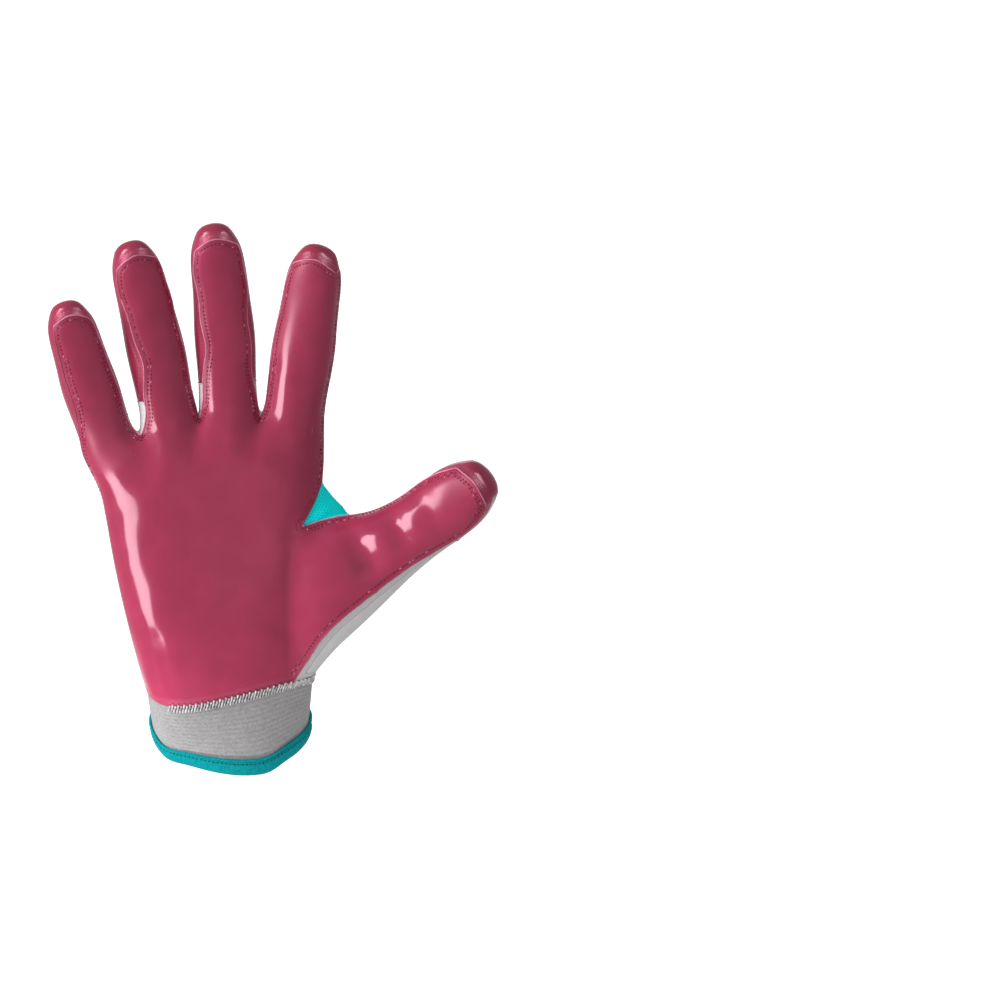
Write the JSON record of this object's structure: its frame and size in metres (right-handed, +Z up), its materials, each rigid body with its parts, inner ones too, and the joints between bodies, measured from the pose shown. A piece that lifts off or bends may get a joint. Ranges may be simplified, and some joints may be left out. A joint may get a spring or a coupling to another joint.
{
  "type": "football receiver glove",
  "caption": "Right-hand football receiver glove in its worn form: glossy silicone palm and finger fronts, plain knit back, mesh thumb gusset, ribbed cuff and a folded tape at its edge.",
  "frame": {"origin": "middle of the wrist opening, at the cuff's edge", "axes": "+Z up the hand to the fingertips, +X to the thumb's side, +Y out of the back of the hand; the palm faces -Y"},
  "size_m": [0.1799, 0.0777, 0.222],
  "materials": {
    "silicone": "glossy silicone film on fabric",
    "silicone_strip": "glossy silicone strip",
    "back_knit": "smooth light grey knit",
    "grey_knit": "fine grey knit",
    "teal_mesh": "teal mesh",
    "cuff_knit": "ribbed elastic knit",
    "teal_tape": "folded ribbed tape"
  },
  "bodies": {
    "root": {"palm_panel": "silicone", "back_panel": "back_knit", "little_tip_wall": "silicone_strip", "ring_tip_wall": "silicone_strip", "middle_tip_wall": "silicone_strip", "index_tip_wall": "silicone_strip", "thumb_tip_wall": "silicone_strip", "little_ring_gusset": "grey_knit", "ring_middle_gusset": "grey_knit", "middle_index_gusset": "grey_knit", "thumb_gusset": "teal_mesh", "thumb_side_gusset": "grey_knit", "cuff": "cuff_knit", "cuff_binding": "teal_tape"}
  },
  "joints": []
}
